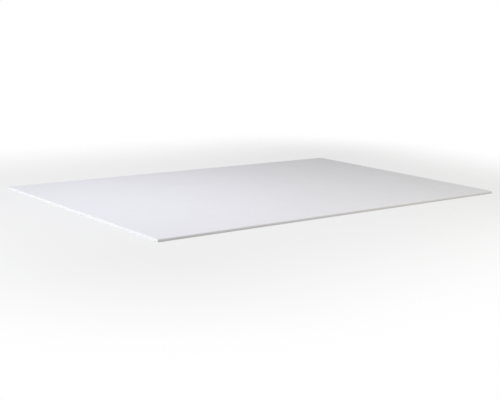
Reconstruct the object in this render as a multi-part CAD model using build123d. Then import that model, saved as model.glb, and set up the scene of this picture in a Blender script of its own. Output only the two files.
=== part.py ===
"""A drywall sheet: gypsum plaster set hard inside a paper wrapping, lying flat with its face side up.

X runs along the sheet, Y across it and Z up through its thickness.
The origin is the middle of the back face, which is the face that the sheet lies on.
"""
from build123d import *
import os

# Overall size of the sheet, in millimetres
sheet_length = 2000.0
sheet_width = 1250.0
sheet_thickness = 12.5

# The two long edges, which are wrapped in paper
taper_width = 50.0    # strip beside each long edge in which the face side falls away
taper_depth = 1.3     # fall of the face side at the end of that strip
nose_reach = 5.0      # how far the half-round nose stands out past the end of the taper
heel_radius = 2.5     # rounding where the nose turns into the back face


def wrapped_edge():
    """One long edge in section: the heel, the half-round nose above it, and the tapered strip.

    The heel is a quarter circle and the nose a quarter ellipse. They meet upright, where the
    sheet is widest. The taper is one flat arc that leaves the face side without a crease.
    """
    widest = sheet_width / 2
    taper_end = widest - nose_reach
    edge_height = sheet_thickness - taper_depth
    heel = CenterArc((widest - heel_radius, heel_radius), heel_radius, start_angle=-90, arc_size=90)
    nose = EllipticalCenterArc((taper_end, heel_radius), nose_reach, edge_height - heel_radius, arc_size=90)
    taper = TangentArc((widest - taper_width, sheet_thickness), (taper_end, edge_height), tangent=(1, 0))
    return Curve() + [heel, nose, taper]


def cross_section():
    """The whole section across the sheet: a wrapped edge each side, joined by the two flat faces."""
    right_edge = wrapped_edge()
    left_edge = mirror(right_edge, about=Plane.YZ)
    back_half = sheet_width / 2 - heel_radius
    face_half = sheet_width / 2 - taper_width
    back = Line((-back_half, 0), (back_half, 0))
    face = Line((-face_half, sheet_thickness), (face_half, sheet_thickness))
    return make_face(Curve() + [right_edge, left_edge, back, face])


def drywall_sheet():
    """The section runs the whole length of the sheet, and its two ends are sawn off square."""
    first_end = Plane.YZ.offset(-sheet_length / 2)
    return extrude(first_end * cross_section(), amount=sheet_length)


os.makedirs("parts", exist_ok=True)
export_step(drywall_sheet(), "parts/drywall_sheet.step")
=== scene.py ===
import math

import bmesh
import bpy
import numpy as np
from mathutils import Matrix, Vector


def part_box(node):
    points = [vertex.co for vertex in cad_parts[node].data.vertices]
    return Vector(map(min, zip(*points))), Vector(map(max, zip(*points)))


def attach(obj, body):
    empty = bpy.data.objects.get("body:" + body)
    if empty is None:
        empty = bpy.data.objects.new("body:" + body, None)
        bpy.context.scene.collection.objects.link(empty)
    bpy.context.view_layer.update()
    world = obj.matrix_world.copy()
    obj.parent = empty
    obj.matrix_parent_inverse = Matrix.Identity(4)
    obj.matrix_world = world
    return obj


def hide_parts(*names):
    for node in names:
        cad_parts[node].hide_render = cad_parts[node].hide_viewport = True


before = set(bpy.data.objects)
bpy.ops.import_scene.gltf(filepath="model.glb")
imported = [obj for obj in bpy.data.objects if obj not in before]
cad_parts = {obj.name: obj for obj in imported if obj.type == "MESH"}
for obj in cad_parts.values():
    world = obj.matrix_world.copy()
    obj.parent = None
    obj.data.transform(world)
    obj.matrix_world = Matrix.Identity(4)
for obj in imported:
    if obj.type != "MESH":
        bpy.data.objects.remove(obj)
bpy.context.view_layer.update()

# The gypsum board: one sheet of foamed gypsum plaster that sets hard between two papers.
# The face paper is folded round both long edges and a little way under the back, where the back paper
# is glued over it. The two ends are sawn, so they show the white plaster between the cut papers.
lowest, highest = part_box("drywall_sheet")
length, width, thickness = highest - lowest
half_length = length / 2
half_width = width / 2
half_thickness = thickness / 2

taper_width = 0.050        # strip beside each long edge in which the face falls away
taper_depth = 0.0013
nose_reach = 0.005         # the half-round nose, past the end of the taper
heel_radius = 0.0025       # rounding of the nose into the back
paper_thickness = 0.00035
lip_width = 0.021          # face paper on the back that the back paper leaves bare
crease_depth = 0.00012     # the fold line along the middle of each nose
edge_wander = 0.0004       # how far a long edge strays from a straight line
cockle_depth = 0.00015     # how far the face paper dips between its highest places
saw_pull = 0.0002          # how far the saw drags the rim of the face paper down
saw_pull_reach = 0.0015    # and how far in from the saw cut that fades
rag_depth = 0.0002         # how unevenly the papers tear off along the saw cut
plaster_setback = 0.00015  # the plaster crumbles away behind the cut papers
plaster_roughness = 0.0003

# How finely the skin is divided: places round half a nose, over a taper and over half of the flat, and
# the rings' distances from each end, close together beside the saw cut and then even.
nose_places = 9
taper_places = 18
flat_places = 230
close_rings = (0.0008, 0.002, 0.005, 0.012, 0.03)
first_even_ring = 0.06
even_rings = 23

# The skin laid flat in a square, a map through which the finishes can be baked: shares of its side.
flat_margin = 0.003
face_strip = (0.004, 0.672)
back_strip = (0.678, 0.900)
end_strips = 0.9055        # the first of four, one above the other
end_strip = 0.0205
flat_rim = 0.17            # the cut papers' share of the half thickness there, more than they are thick

# The finishes of the mesh's faces, in the order of its material slots.
FACE_PAPER, BACK_PAPER, CUT_PAPER, PLASTER = range(4)


def section():
    """Half of the sheet's section, from the widest line of a long edge to the middle of the sheet, as
    two rows of points (y, z): over the face side and under the back. The rows have like numbers of
    points, with the same y once they are half a thickness in from the widest line.

    Nose: a quarter ellipse up to the taper, creased half way round. Heel: a quarter ellipse down to
    the folded lip. Taper: an arc that leaves the flat face level, whose radius is
    (run squared + fall squared) / (2 x fall). Back: flat, and a paper's thickness higher at the lip.
    """
    turn = np.linspace(0, np.pi / 2, nose_places)
    crease = crease_depth * np.sin(2 * turn) ** 6
    nose_y = half_width - nose_reach * (1 - np.cos(turn)) - crease
    nose_z = heel_radius + (thickness - taper_depth - heel_radius) * np.sin(turn)
    heel_y = half_width - heel_radius * (1 - np.cos(turn))
    heel_z = heel_radius - (heel_radius - paper_thickness) * np.sin(turn)

    inner_edge = half_width - lip_width
    y = np.concatenate([
        np.linspace(half_width - half_thickness, half_width - taper_width, taper_places),
        np.linspace(half_width - taper_width, 0, flat_places + 1)[1:],
    ])
    y = np.sort(np.append(y, inner_edge + np.array([-1, 1]) * paper_thickness / 4))[::-1]
    run = taper_width - nose_reach
    radius = (run ** 2 + taper_depth ** 2) / (2 * taper_depth)
    past_flat = np.maximum(y - (half_width - taper_width), 0)
    face_z = thickness - radius + np.sqrt(radius ** 2 - past_flat ** 2)
    back_z = np.where(y > inner_edge, paper_thickness, 0)
    over = np.stack([np.append(nose_y, y), np.append(nose_z, face_z)], axis=1)
    under = np.stack([np.append(heel_y, y), np.append(heel_z, back_z)], axis=1)
    return over, under


def drift(place, spacing, seed):
    """A soft random line from -1 to 1: seeded values at even spacing, joined by half cosine waves. It
    starts again when they are used up."""
    values = np.random.default_rng(seed).uniform(-1, 1, size=2048)
    steps = place / spacing
    before = np.floor(steps).astype(int)
    share = (1 - np.cos(np.pi * (steps - before))) / 2
    return values[before % len(values)] * (1 - share) + values[(before + 1) % len(values)] * share


def board_skin():
    """The skin of the sheet as rings, each one time round the section, from the middle of one end
    along the length to the middle of the other: points[ring, place, axis], the finish of each face, and
    where the corners of each face lie when the skin is laid flat.

    A ring on an end is the section drawn in by a share of the way to a line at half the thickness,
    which stops half a thickness short of the widest lines. The share for the paper's inner side is
    paper thickness / half thickness, and the last ring, with share 1, closes on that line.
    """
    over, under = section()
    half_loop = np.concatenate([over[::-1], under[1:]])
    loop = np.concatenate([half_loop, half_loop[-2:0:-1] * (-1, 1)])
    spine = np.stack([np.clip(loop[:, 0], half_thickness - half_width, half_width - half_thickness),
                      np.full(len(loop), half_thickness)], axis=1)

    paper_share = paper_thickness / half_thickness
    end_shares = np.array([1, 0.8, 0.6, 0.4, 0.2, paper_share, paper_share, 0])
    flat_shares = np.array([1, 0.83, 0.66, 0.5, 0.34, flat_rim, flat_rim, 0])
    end_is_plaster = np.array([1, 1, 1, 1, 1, 1, 0, 0])
    from_end = np.concatenate([close_rings, np.linspace(first_even_ring, half_length, even_rings)])
    sides = np.zeros(2 * len(from_end) - 1)
    share = np.concatenate([end_shares, sides, end_shares[::-1]])[:, None]
    flat_share = np.concatenate([flat_shares, sides, flat_shares[::-1]])[:, None]
    is_plaster = np.concatenate([end_is_plaster, sides, end_is_plaster[::-1]])[:, None]
    distance = np.concatenate([np.zeros(len(end_shares)), from_end])
    to_end = np.concatenate([distance, distance[-2::-1]])[:, None]
    which_end = np.sign(np.arange(len(to_end)) - len(distance) + 1)[:, None]

    # A drift that runs over a whole surface is taken along a slant, so that nothing lies square to it.
    y, z = loop[None, :, 0], loop[None, :, 1]
    along = which_end * (half_length - to_end)
    just_under_taper = thickness - 1.1 * taper_depth
    on_face = z > just_under_taper
    at_edge = np.clip((np.abs(y) - half_width) / taper_width + 1, 0, 1) ** 2
    wander = np.where(y > 0, drift(along, spacing=0.31, seed=1), drift(along, spacing=0.27, seed=2))
    wander = edge_wander * (1 + wander) / 2
    pull = saw_pull * np.exp(-to_end / saw_pull_reach) * (0.7 + 0.3 * drift(y, spacing=0.004, seed=3))
    dips = drift(along + 0.4 * y, spacing=0.16, seed=4) * drift(y + 0.2 * along, spacing=0.11, seed=5)
    dips = (1 + dips) / 2
    ring_y = y - np.sign(y) * wander * at_edge
    ring_z = z - np.where(on_face, pull + cockle_depth * dips, 0)
    ring_y = ring_y + share * (spine[None, :, 0] - ring_y)
    ring_z = ring_z + share * (spine[None, :, 1] - ring_z)

    torn_places = drift(y, spacing=0.04, seed=7) ** 2
    rag = rag_depth * (1 + drift(y + 0.3 * z, spacing=0.0029, seed=6)) / 2 * torn_places
    saw_marks = drift(ring_y + 0.8 * ring_z, spacing=0.0034, seed=8) ** 2
    chatter = drift(ring_y + 0.3 * ring_z, spacing=0.015, seed=9) ** 2
    pits = drift(ring_y, spacing=0.0026, seed=10) * drift(ring_z + 0.2 * ring_y, spacing=0.0013, seed=11)
    pits = np.maximum(pits, 0)
    hollow = plaster_setback + plaster_roughness * (0.25 * saw_marks + 0.25 * chatter + 0.5 * pits)
    x = along - which_end * (to_end == 0) * np.where(is_plaster, hollow, rag)

    finish = np.where((loop[:, 1] < half_thickness) & (np.abs(loop[:, 0]) < half_width - lip_width),
                      BACK_PAPER, FACE_PAPER)
    finish = np.minimum(finish, np.roll(finish, -1))
    plaster_face = is_plaster[:-1] * is_plaster[1:] > 0
    end_face = (to_end[:-1] == 0) & (to_end[1:] == 0)
    finish = np.where(plaster_face, PLASTER, np.where(end_face, CUT_PAPER, finish))
    flat_y = y + flat_share * (spine[None, :, 0] - y)
    flat_z = z + flat_share * (spine[None, :, 1] - z)
    flat = np.where(end_face[:, :, None, None], ends_laid_flat(flat_y, flat_z, which_end),
                    sides_laid_flat(loop, along, finish))
    return np.stack([x, ring_y, ring_z], axis=2), finish, flat


def face_corners(rings):
    """The values at the four corners of each face between neighbouring rings, which each close on
    themselves, from an array with one value for each ring and place: the place and the next one on
    this ring, then the next one and the same place on the ring after it."""
    beside = np.roll(rings, -1, axis=1)
    return np.stack([rings[:-1], beside[:-1], beside[1:], rings[1:]], axis=2)


def sides_laid_flat(loop, along, finish):
    """Where the corners of each face of the papers lie in a square, with the skin slit at the edges of
    the back paper and laid flat: across the square the length of the sheet, and up it the length round
    the section, for the face paper from the middle of the face and for the back paper from the middle
    of the back. Round the section, a place is as far as the sum of the steps before it."""
    steps = np.linalg.norm(np.roll(loop, -1, axis=0) - loop, axis=1)
    past_back = (np.arange(len(loop)) >= len(loop) / 2)[:, None]
    start = np.cumsum(steps) - steps
    around = np.stack([start, start + steps, start + steps, start], axis=1)
    back_reach = half_width - lip_width
    face_reach = steps.sum() / 2 - back_reach
    on_back = np.interp(around - steps.sum() / 2, (-back_reach, back_reach), back_strip)
    on_face = np.interp(around - past_back * steps.sum(), (-face_reach, face_reach), face_strip)
    up = np.where(finish[:, :, None] == BACK_PAPER, on_back, on_face)
    across = np.interp(face_corners(along), (-half_length, half_length), (flat_margin, 1 - flat_margin))
    return np.stack(np.broadcast_arrays(across, up), axis=3)


def ends_laid_flat(y, z, which_end):
    """Where the corners of each face of the sawn ends lie in that square: each end in two halves, a
    strip each, across them y as it runs when the end is looked at, and up them the height."""
    side = np.where(np.arange(y.shape[1]) < y.shape[1] / 2, 1, -1)
    turned = which_end[:-1] * side < 0
    strip = 1.5 + which_end[:-1] + side / 2     # from 0 to 3
    across = face_corners(which_end * y) + half_width * turned[:, :, None]
    across = np.interp(across, (0, half_width), (flat_margin, 1 - flat_margin))
    up = (end_strip + flat_margin) * strip[:, :, None] + end_strip * face_corners(z) / thickness
    return np.stack([across, end_strips + up], axis=3)


def closed_mesh(name, points, finish, flat):
    """A mesh of four-cornered faces between neighbouring rings, which each close on themselves. The points
    of the first and last ring that fall together are merged. The flat places are its own map, through
    which the finishes can be baked; no finish reads it."""
    same_place = 1e-7
    sharp_from = math.radians(40)
    faces = face_corners(np.arange(points[:, :, 0].size).reshape(points.shape[:2])).reshape(-1, 4)
    mesh = bpy.data.meshes.new(name)
    mesh.from_pydata(points.reshape(-1, 3), [], faces.tolist())
    mesh.polygons.foreach_set("material_index", finish.reshape(-1).astype(np.int32))
    mesh.polygons.foreach_set("use_smooth", np.ones(len(faces), bool))
    mesh.uv_layers.new(name="OFBake").uv.foreach_set("vector", flat.reshape(-1).astype(np.float32))
    work = bmesh.new()
    work.from_mesh(mesh)
    bmesh.ops.remove_doubles(work, verts=work.verts, dist=same_place)
    bmesh.ops.recalc_face_normals(work, faces=work.faces)
    work.to_mesh(mesh)
    work.free()
    mesh.set_sharp_from_angle(angle=sharp_from)
    return mesh


class Wire:
    """One output of a node. Sums, differences, products and comparisons of wires and numbers add Math
    nodes."""

    def __init__(self, socket):
        self.socket = socket

    def node(self, kind, settings, inputs, output=0):
        """Any other node: its type, its settings, the values or links of its sockets, and the output
        that is wanted."""
        tree = self.socket.id_data
        added = tree.nodes.new(kind)
        for name, value in settings.items():
            setattr(added, name, value)
        for name, value in inputs.items():
            if isinstance(value, Wire):
                tree.links.new(value.socket, added.inputs[name])
            else:
                added.inputs[name].default_value = value
        return Wire(added.outputs[output])

    def maths(self, operation, first, second):
        return self.node("ShaderNodeMath", {"operation": operation}, {0: first, 1: second})

    def __add__(self, other):
        return self.maths("ADD", self, other)

    def __radd__(self, other):
        return self.maths("ADD", other, self)

    def __sub__(self, other):
        return self.maths("SUBTRACT", self, other)

    def __rsub__(self, other):
        return self.maths("SUBTRACT", other, self)

    def __mul__(self, other):
        return self.maths("MULTIPLY", self, other)

    def __rmul__(self, other):
        return self.maths("MULTIPLY", other, self)

    def __gt__(self, other):
        return self.maths("GREATER_THAN", self, other)


def noise(place, per_metre, stretch=(1, 1, 1), detail=2.0):
    """Soft random values about 0.5, with so many patches to the metre along each axis."""
    scale = [per_metre * share for share in stretch]
    scaled = place.node("ShaderNodeMapping", {}, {"Vector": place, "Scale": scale})
    return place.node("ShaderNodeTexNoise", {}, {"Vector": scaled, "Scale": 1.0, "Detail": detail})


def ramp(value, start, end):
    """0 where the value is at start and 1 where it is at end, with a soft change between."""
    settings = {"interpolation_type": "SMOOTHSTEP"}
    return value.node("ShaderNodeMapRange", settings, {"Value": value, "From Min": start, "From Max": end})


def tint(share, first, second):
    """A colour that goes from first to second as the share goes from 0 to 1. A Mix node's inputs for
    colours are numbers 6 and 7, and its output for one is number 2."""
    return share.node("ShaderNodeMix", {"data_type": "RGBA"}, {0: share, 6: first, 7: second}, output=2)


def flecks(place, per_metre, kept, size):
    """Single specks of dark fibre: in that share of the cells, a spot of that radius in metres about
    the cell's own point, which is full in the inner 0.4 of it."""
    settings = {"voronoi_dimensions": "2D"}
    cells = place.node("ShaderNodeTexVoronoi", settings, {"Vector": place, "Scale": per_metre})
    chance = cells.node("ShaderNodeSeparateColor", {}, {0: Wire(cells.socket.node.outputs["Color"])})
    rim = size * per_metre
    return ramp(cells, rim, rim * 0.4) * (chance > 1 - kept)


def new_finish(name):
    """An empty finish: its material, the place on the piece, and the shader's inputs."""
    material = bpy.data.materials.new(name)
    material.use_nodes = True
    tree = material.node_tree
    shader = tree.nodes["Principled BSDF"]
    place = Wire(tree.nodes.new("ShaderNodeTexCoord").outputs["Object"])
    return material, place, shader


def dress(shader, **looks):
    """Puts values or wires into the shader's inputs, whose names are written with underscores."""
    for name, value in looks.items():
        entry = shader.inputs[name.replace("_", " ")]
        if isinstance(value, Wire):
            shader.id_data.links.new(value.socket, entry)
        else:
            entry.default_value = value


def relief(height, depth):
    """The normal of a surface whose height goes from 0 to 1 over that depth in metres."""
    return height.node("ShaderNodeBump", {}, {"Height": height, "Distance": depth, "Strength": 1.0})


def face_paper():
    """Smooth pale paper: fine white pulp whose fibres lie mostly along the sheet, a few stray dark ones,
    and very faint clouds and streaks from the board machine. Where it turns over the long edges, on the
    outer part of each nose and round the heel, it is painted darker as shade."""
    material, place, shader = new_finish("face_paper")
    shaded_pulp = (0.770, 0.773, 0.793, 1)
    light_pulp = (0.818, 0.820, 0.837, 1)
    stray_fibre = (0.42, 0.40, 0.37, 1)
    edge_shade_pulp = (0.712, 0.712, 0.715, 1)
    clouds = noise(place, per_metre=4, detail=3)
    streaks = noise(place, per_metre=30, stretch=(0.05, 1, 1))
    fibres = noise(place, per_metre=900, stretch=(0.3, 1, 1), detail=4)
    tone = ramp(0.15 * clouds + 0.1 * streaks + 0.75 * fibres, start=0.25, end=0.75)
    specks = flecks(place, per_metre=55, kept=0.10, size=0.0006)
    colour = tint(0.5 * specks, tint(tone, shaded_pulp, light_pulp), stray_fibre)
    folded = place.node("ShaderNodeVectorMath", {"operation": "ABSOLUTE"}, {0: place})
    across = folded.node("ShaderNodeSeparateXYZ", {}, {0: folded}, output="Y")
    # painted shade: the paper is darker over the outer part of each nose and round the heel, which face
    # sideways and down
    painted_edge_shade = ramp(across, start=half_width - 0.6 * nose_reach, end=half_width - 0.1 * nose_reach)
    colour = tint((0.75 + 0.25 * fibres) * painted_edge_shade, colour, edge_shade_pulp)
    dress(shader, Base_Color=colour, Roughness=0.94 - 0.08 * tone, Specular_IOR_Level=0.25,
          Normal=relief(fibres, depth=0.00005))
    return material


def back_paper():
    """Plain recycled paper, greyer and coarser than the face, with many fibres and specks in it."""
    material, place, shader = new_finish("back_paper")
    dark_pulp = (0.46, 0.445, 0.41, 1)
    light_pulp = (0.58, 0.565, 0.53, 1)
    stray_fibre = (0.24, 0.22, 0.19, 1)
    clouds = noise(place, per_metre=9, detail=4)
    fibres = noise(place, per_metre=450, stretch=(0.35, 1, 1), detail=4)
    tone = ramp(0.5 * clouds + 0.5 * fibres, start=0.3, end=0.7)
    specks = flecks(place, per_metre=110, kept=0.25, size=0.0007)
    colour = tint(0.5 * specks, tint(tone, dark_pulp, light_pulp), stray_fibre)
    dress(shader, Base_Color=colour, Roughness=0.9 - 0.1 * tone, Normal=relief(fibres, depth=0.0001))
    return material


def cut_paper():
    """The sawn rim of the papers: layers of grey pulp under the white one, fluffed by the saw."""
    material, place, shader = new_finish("cut_paper")
    grey_layer = (0.50, 0.485, 0.455, 1)
    pale_layer = (0.70, 0.69, 0.665, 1)
    layers = noise(place, per_metre=900, stretch=(1, 0.15, 6))
    fluff = noise(place, per_metre=1500, detail=3)
    tone = ramp(0.5 * layers + 0.5 * fluff, start=0.3, end=0.7)
    dress(shader, Base_Color=tint(tone, grey_layer, pale_layer), Roughness=0.95,
          Normal=relief(fluff, depth=0.0001))
    return material


def plaster():
    """Foamed gypsum where it is sawn: white, torn open into pores of many sizes, with the slanted
    marks of the saw's teeth and loose dust."""
    material, place, shader = new_finish("plaster")
    shaded_plaster = (0.850, 0.852, 0.854, 1)
    white_plaster = (0.902, 0.903, 0.902, 1)
    pore_shade = (0.62, 0.62, 0.62, 1)
    tooth_slant = math.radians(35)
    pull = 0.0007      # how far the saw pulls the pores out of shape
    slanted = place.node("ShaderNodeMapping", {}, {"Vector": place, "Rotation": (tooth_slant, 0, 0)})
    teeth = noise(slanted, per_metre=420, stretch=(1, 1, 0.12))
    bands = noise(slanted, per_metre=75, stretch=(1, 1, 0.2))
    dust = noise(place, per_metre=260, detail=4)
    crumbs = noise(place, per_metre=1400, detail=3)
    any_way = Wire(crumbs.socket.node.outputs["Color"])
    torn = place.node("ShaderNodeVectorMath", {"operation": "MULTIPLY_ADD"},
                      {0: any_way, 1: (pull, pull, pull), 2: place})
    large = torn.node("ShaderNodeTexVoronoi", {}, {"Vector": torn, "Scale": 420.0})
    small = torn.node("ShaderNodeTexVoronoi", {}, {"Vector": torn, "Scale": 1300.0})
    large_pores = ramp(large, start=0.30, end=0.10) * ramp(dust, start=0.42, end=0.58)
    pores = large_pores + 0.5 * ramp(small, start=0.34, end=0.14)
    tone = ramp(0.3 * teeth + 0.1 * bands + 0.2 * dust + 0.4 * crumbs, start=0.3, end=0.7)
    colour = tint(0.35 * pores, tint(tone, shaded_plaster, white_plaster), pore_shade)
    height = 0.35 * teeth + 0.25 * crumbs + 0.2 - 0.4 * pores
    dress(shader, Base_Color=colour, Roughness=0.97, Specular_IOR_Level=0.3,
          Normal=relief(height, depth=0.0004))
    return material


board = bpy.data.objects.new("gypsum_board", closed_mesh("gypsum_board", *board_skin()))
bpy.context.scene.collection.objects.link(board)
for finish in (face_paper(), back_paper(), cut_paper(), plaster()):
    board.data.materials.append(finish)
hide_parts("drywall_sheet")
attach(board, "root")

# The floor: a plain white floor under the sheet, which runs out of the view on every side. It turns to
# pure white away from the sheet; near it, it is painted greyer in a halo that follows the sheet's outline,
# a painted shade in which the sheet's soft shadow also shows.
floor_reach = 60.0
painted_shade_reach = 0.05        # distances past the sheet's own outline
white_reach = 1.3
least_white = 0.62         # the share of pure white beside the sheet
floor_colour = (0.64, 0.64, 0.64, 1)


def floor_finish():
    """Matt white that is lit like the sheet, blended with its own plain white for the camera alone, less
    of it near the sheet's outline, which paints a grey shade round the sheet.
    The distance past the outline is the length of (|x| - half length, |y| - half width), where a
    share below zero counts as zero."""
    material, place, shader = new_finish("floor")
    tree = material.node_tree
    outline = (half_length, half_width, 0)
    folded = place.node("ShaderNodeVectorMath", {"operation": "ABSOLUTE"}, {0: place})
    past = place.node("ShaderNodeVectorMath", {"operation": "SUBTRACT"}, {0: folded, 1: outline})
    past = place.node("ShaderNodeVectorMath", {"operation": "MAXIMUM"}, {0: past, 1: (0, 0, 0)})
    away = place.node("ShaderNodeVectorMath", {"operation": "LENGTH"}, {0: past}, output="Value")
    # painted shade: beside the sheet the floor is greyer, fading to pure white by white_reach
    whiteness = least_white + (1 - least_white) * ramp(away, painted_shade_reach, white_reach)
    ray = place.node("ShaderNodeLightPath", {}, {}, output="Is Camera Ray")
    dress(shader, Base_Color=floor_colour, Roughness=0.9)
    white = tree.nodes.new("ShaderNodeEmission")
    mix = tree.nodes.new("ShaderNodeMixShader")
    tree.links.new((whiteness * ray).socket, mix.inputs[0])
    tree.links.new(shader.outputs[0], mix.inputs[1])
    tree.links.new(white.outputs[0], mix.inputs[2])
    tree.links.new(mix.outputs[0], tree.nodes["Material Output"].inputs["Surface"])
    return material


corners = [(x * floor_reach, y * floor_reach, lowest.z) for x, y in ((-1, -1), (1, -1), (1, 1), (-1, 1))]
floor_mesh = bpy.data.meshes.new("floor")
floor_mesh.from_pydata(corners, [], [(0, 1, 2, 3)])
floor_mesh.materials.append(floor_finish())
floor = bpy.data.objects.new("floor", floor_mesh)
bpy.context.scene.collection.objects.link(floor)

# The studio light: an even surround and three large soft lamps. The near one over the left half and the
# strong far one on the left are a little cool, and the one in front of the long edge is a little warm.
surround_colour = (1.0, 0.975, 0.93)
surround_strength = 0.42
lamp_size = 1.2

world = bpy.data.worlds.new("surround")
bpy.context.scene.world = world
world.use_nodes = True
surround = world.node_tree.nodes["Background"]
surround.inputs["Color"].default_value = (*surround_colour, 1)
surround.inputs["Strength"].default_value = surround_strength
start = Wire(world.node_tree.nodes.new("ShaderNodeLightPath").outputs["Is Camera Ray"])
paths = start.socket.node.outputs
seen = start.maths("MAXIMUM", start, Wire(paths["Is Glossy Ray"]))
seen = seen.maths("MAXIMUM", seen, Wire(paths["Is Transmission Ray"]))
white = start.node("ShaderNodeBackground", {}, {"Color": (1, 1, 1, 1), "Strength": 1.0})
sky = start.node("ShaderNodeMixShader", {}, {0: seen, 1: Wire(surround.outputs[0]), 2: white})
world.node_tree.links.new(sky.socket, world.node_tree.nodes["World Output"].inputs["Surface"])


def soft_lamp(name, place, power, colour):
    """A round studio lamp that points at the middle of the sheet."""
    light = bpy.data.lights.new(name, "AREA")
    light.shape = "DISK"
    light.size = lamp_size
    light.energy = power
    light.color = colour
    lamp = bpy.data.objects.new(name, light)
    lamp.location = place
    lamp.rotation_euler = (-lamp.location).to_track_quat("-Z", "Y").to_euler()
    lamp.visible_camera = False
    bpy.context.scene.collection.objects.link(lamp)


soft_lamp("high_lamp", place=(-1.00, 0.05, 1.75), power=16.6, colour=(0.835, 0.850, 1.0))
soft_lamp("left_lamp", place=(-5.75, 0.05, 1.60), power=141.0, colour=(0.930, 0.960, 1.0))
soft_lamp("front_lamp", place=(0.80, -2.00, 1.40), power=13.3, colour=(1.0, 0.965, 0.865))

# The camera: where the photograph was taken from, beside the near left corner and a little above the
# sheet, and turned so that the sheet is in the middle. The lens has about the photograph's angle of view.
camera_place = Vector((-2.968, -3.525, 0.844))
camera_heading = math.radians(39.64)   # to the right of straight across the sheet
camera_dip = math.radians(10.91)
camera_roll = math.radians(1.92)
lens_length = 69.8                     # in millimetres, as the width of the frame behind it
frame_width = 36.0

camera_data = bpy.data.cameras.new("camera")
camera_data.lens = lens_length
camera_data.sensor_width = frame_width
camera = bpy.data.objects.new("camera", camera_data)
turn = (Matrix.Rotation(-camera_heading, 4, "Z")
        @ Matrix.Rotation(math.radians(90) - camera_dip, 4, "X")
        @ Matrix.Rotation(camera_roll, 4, "Z"))
camera.matrix_world = Matrix.Translation(camera_place) @ turn
bpy.context.scene.collection.objects.link(camera)
bpy.context.scene.camera = camera

bpy.context.scene.view_settings.view_transform = "Standard"
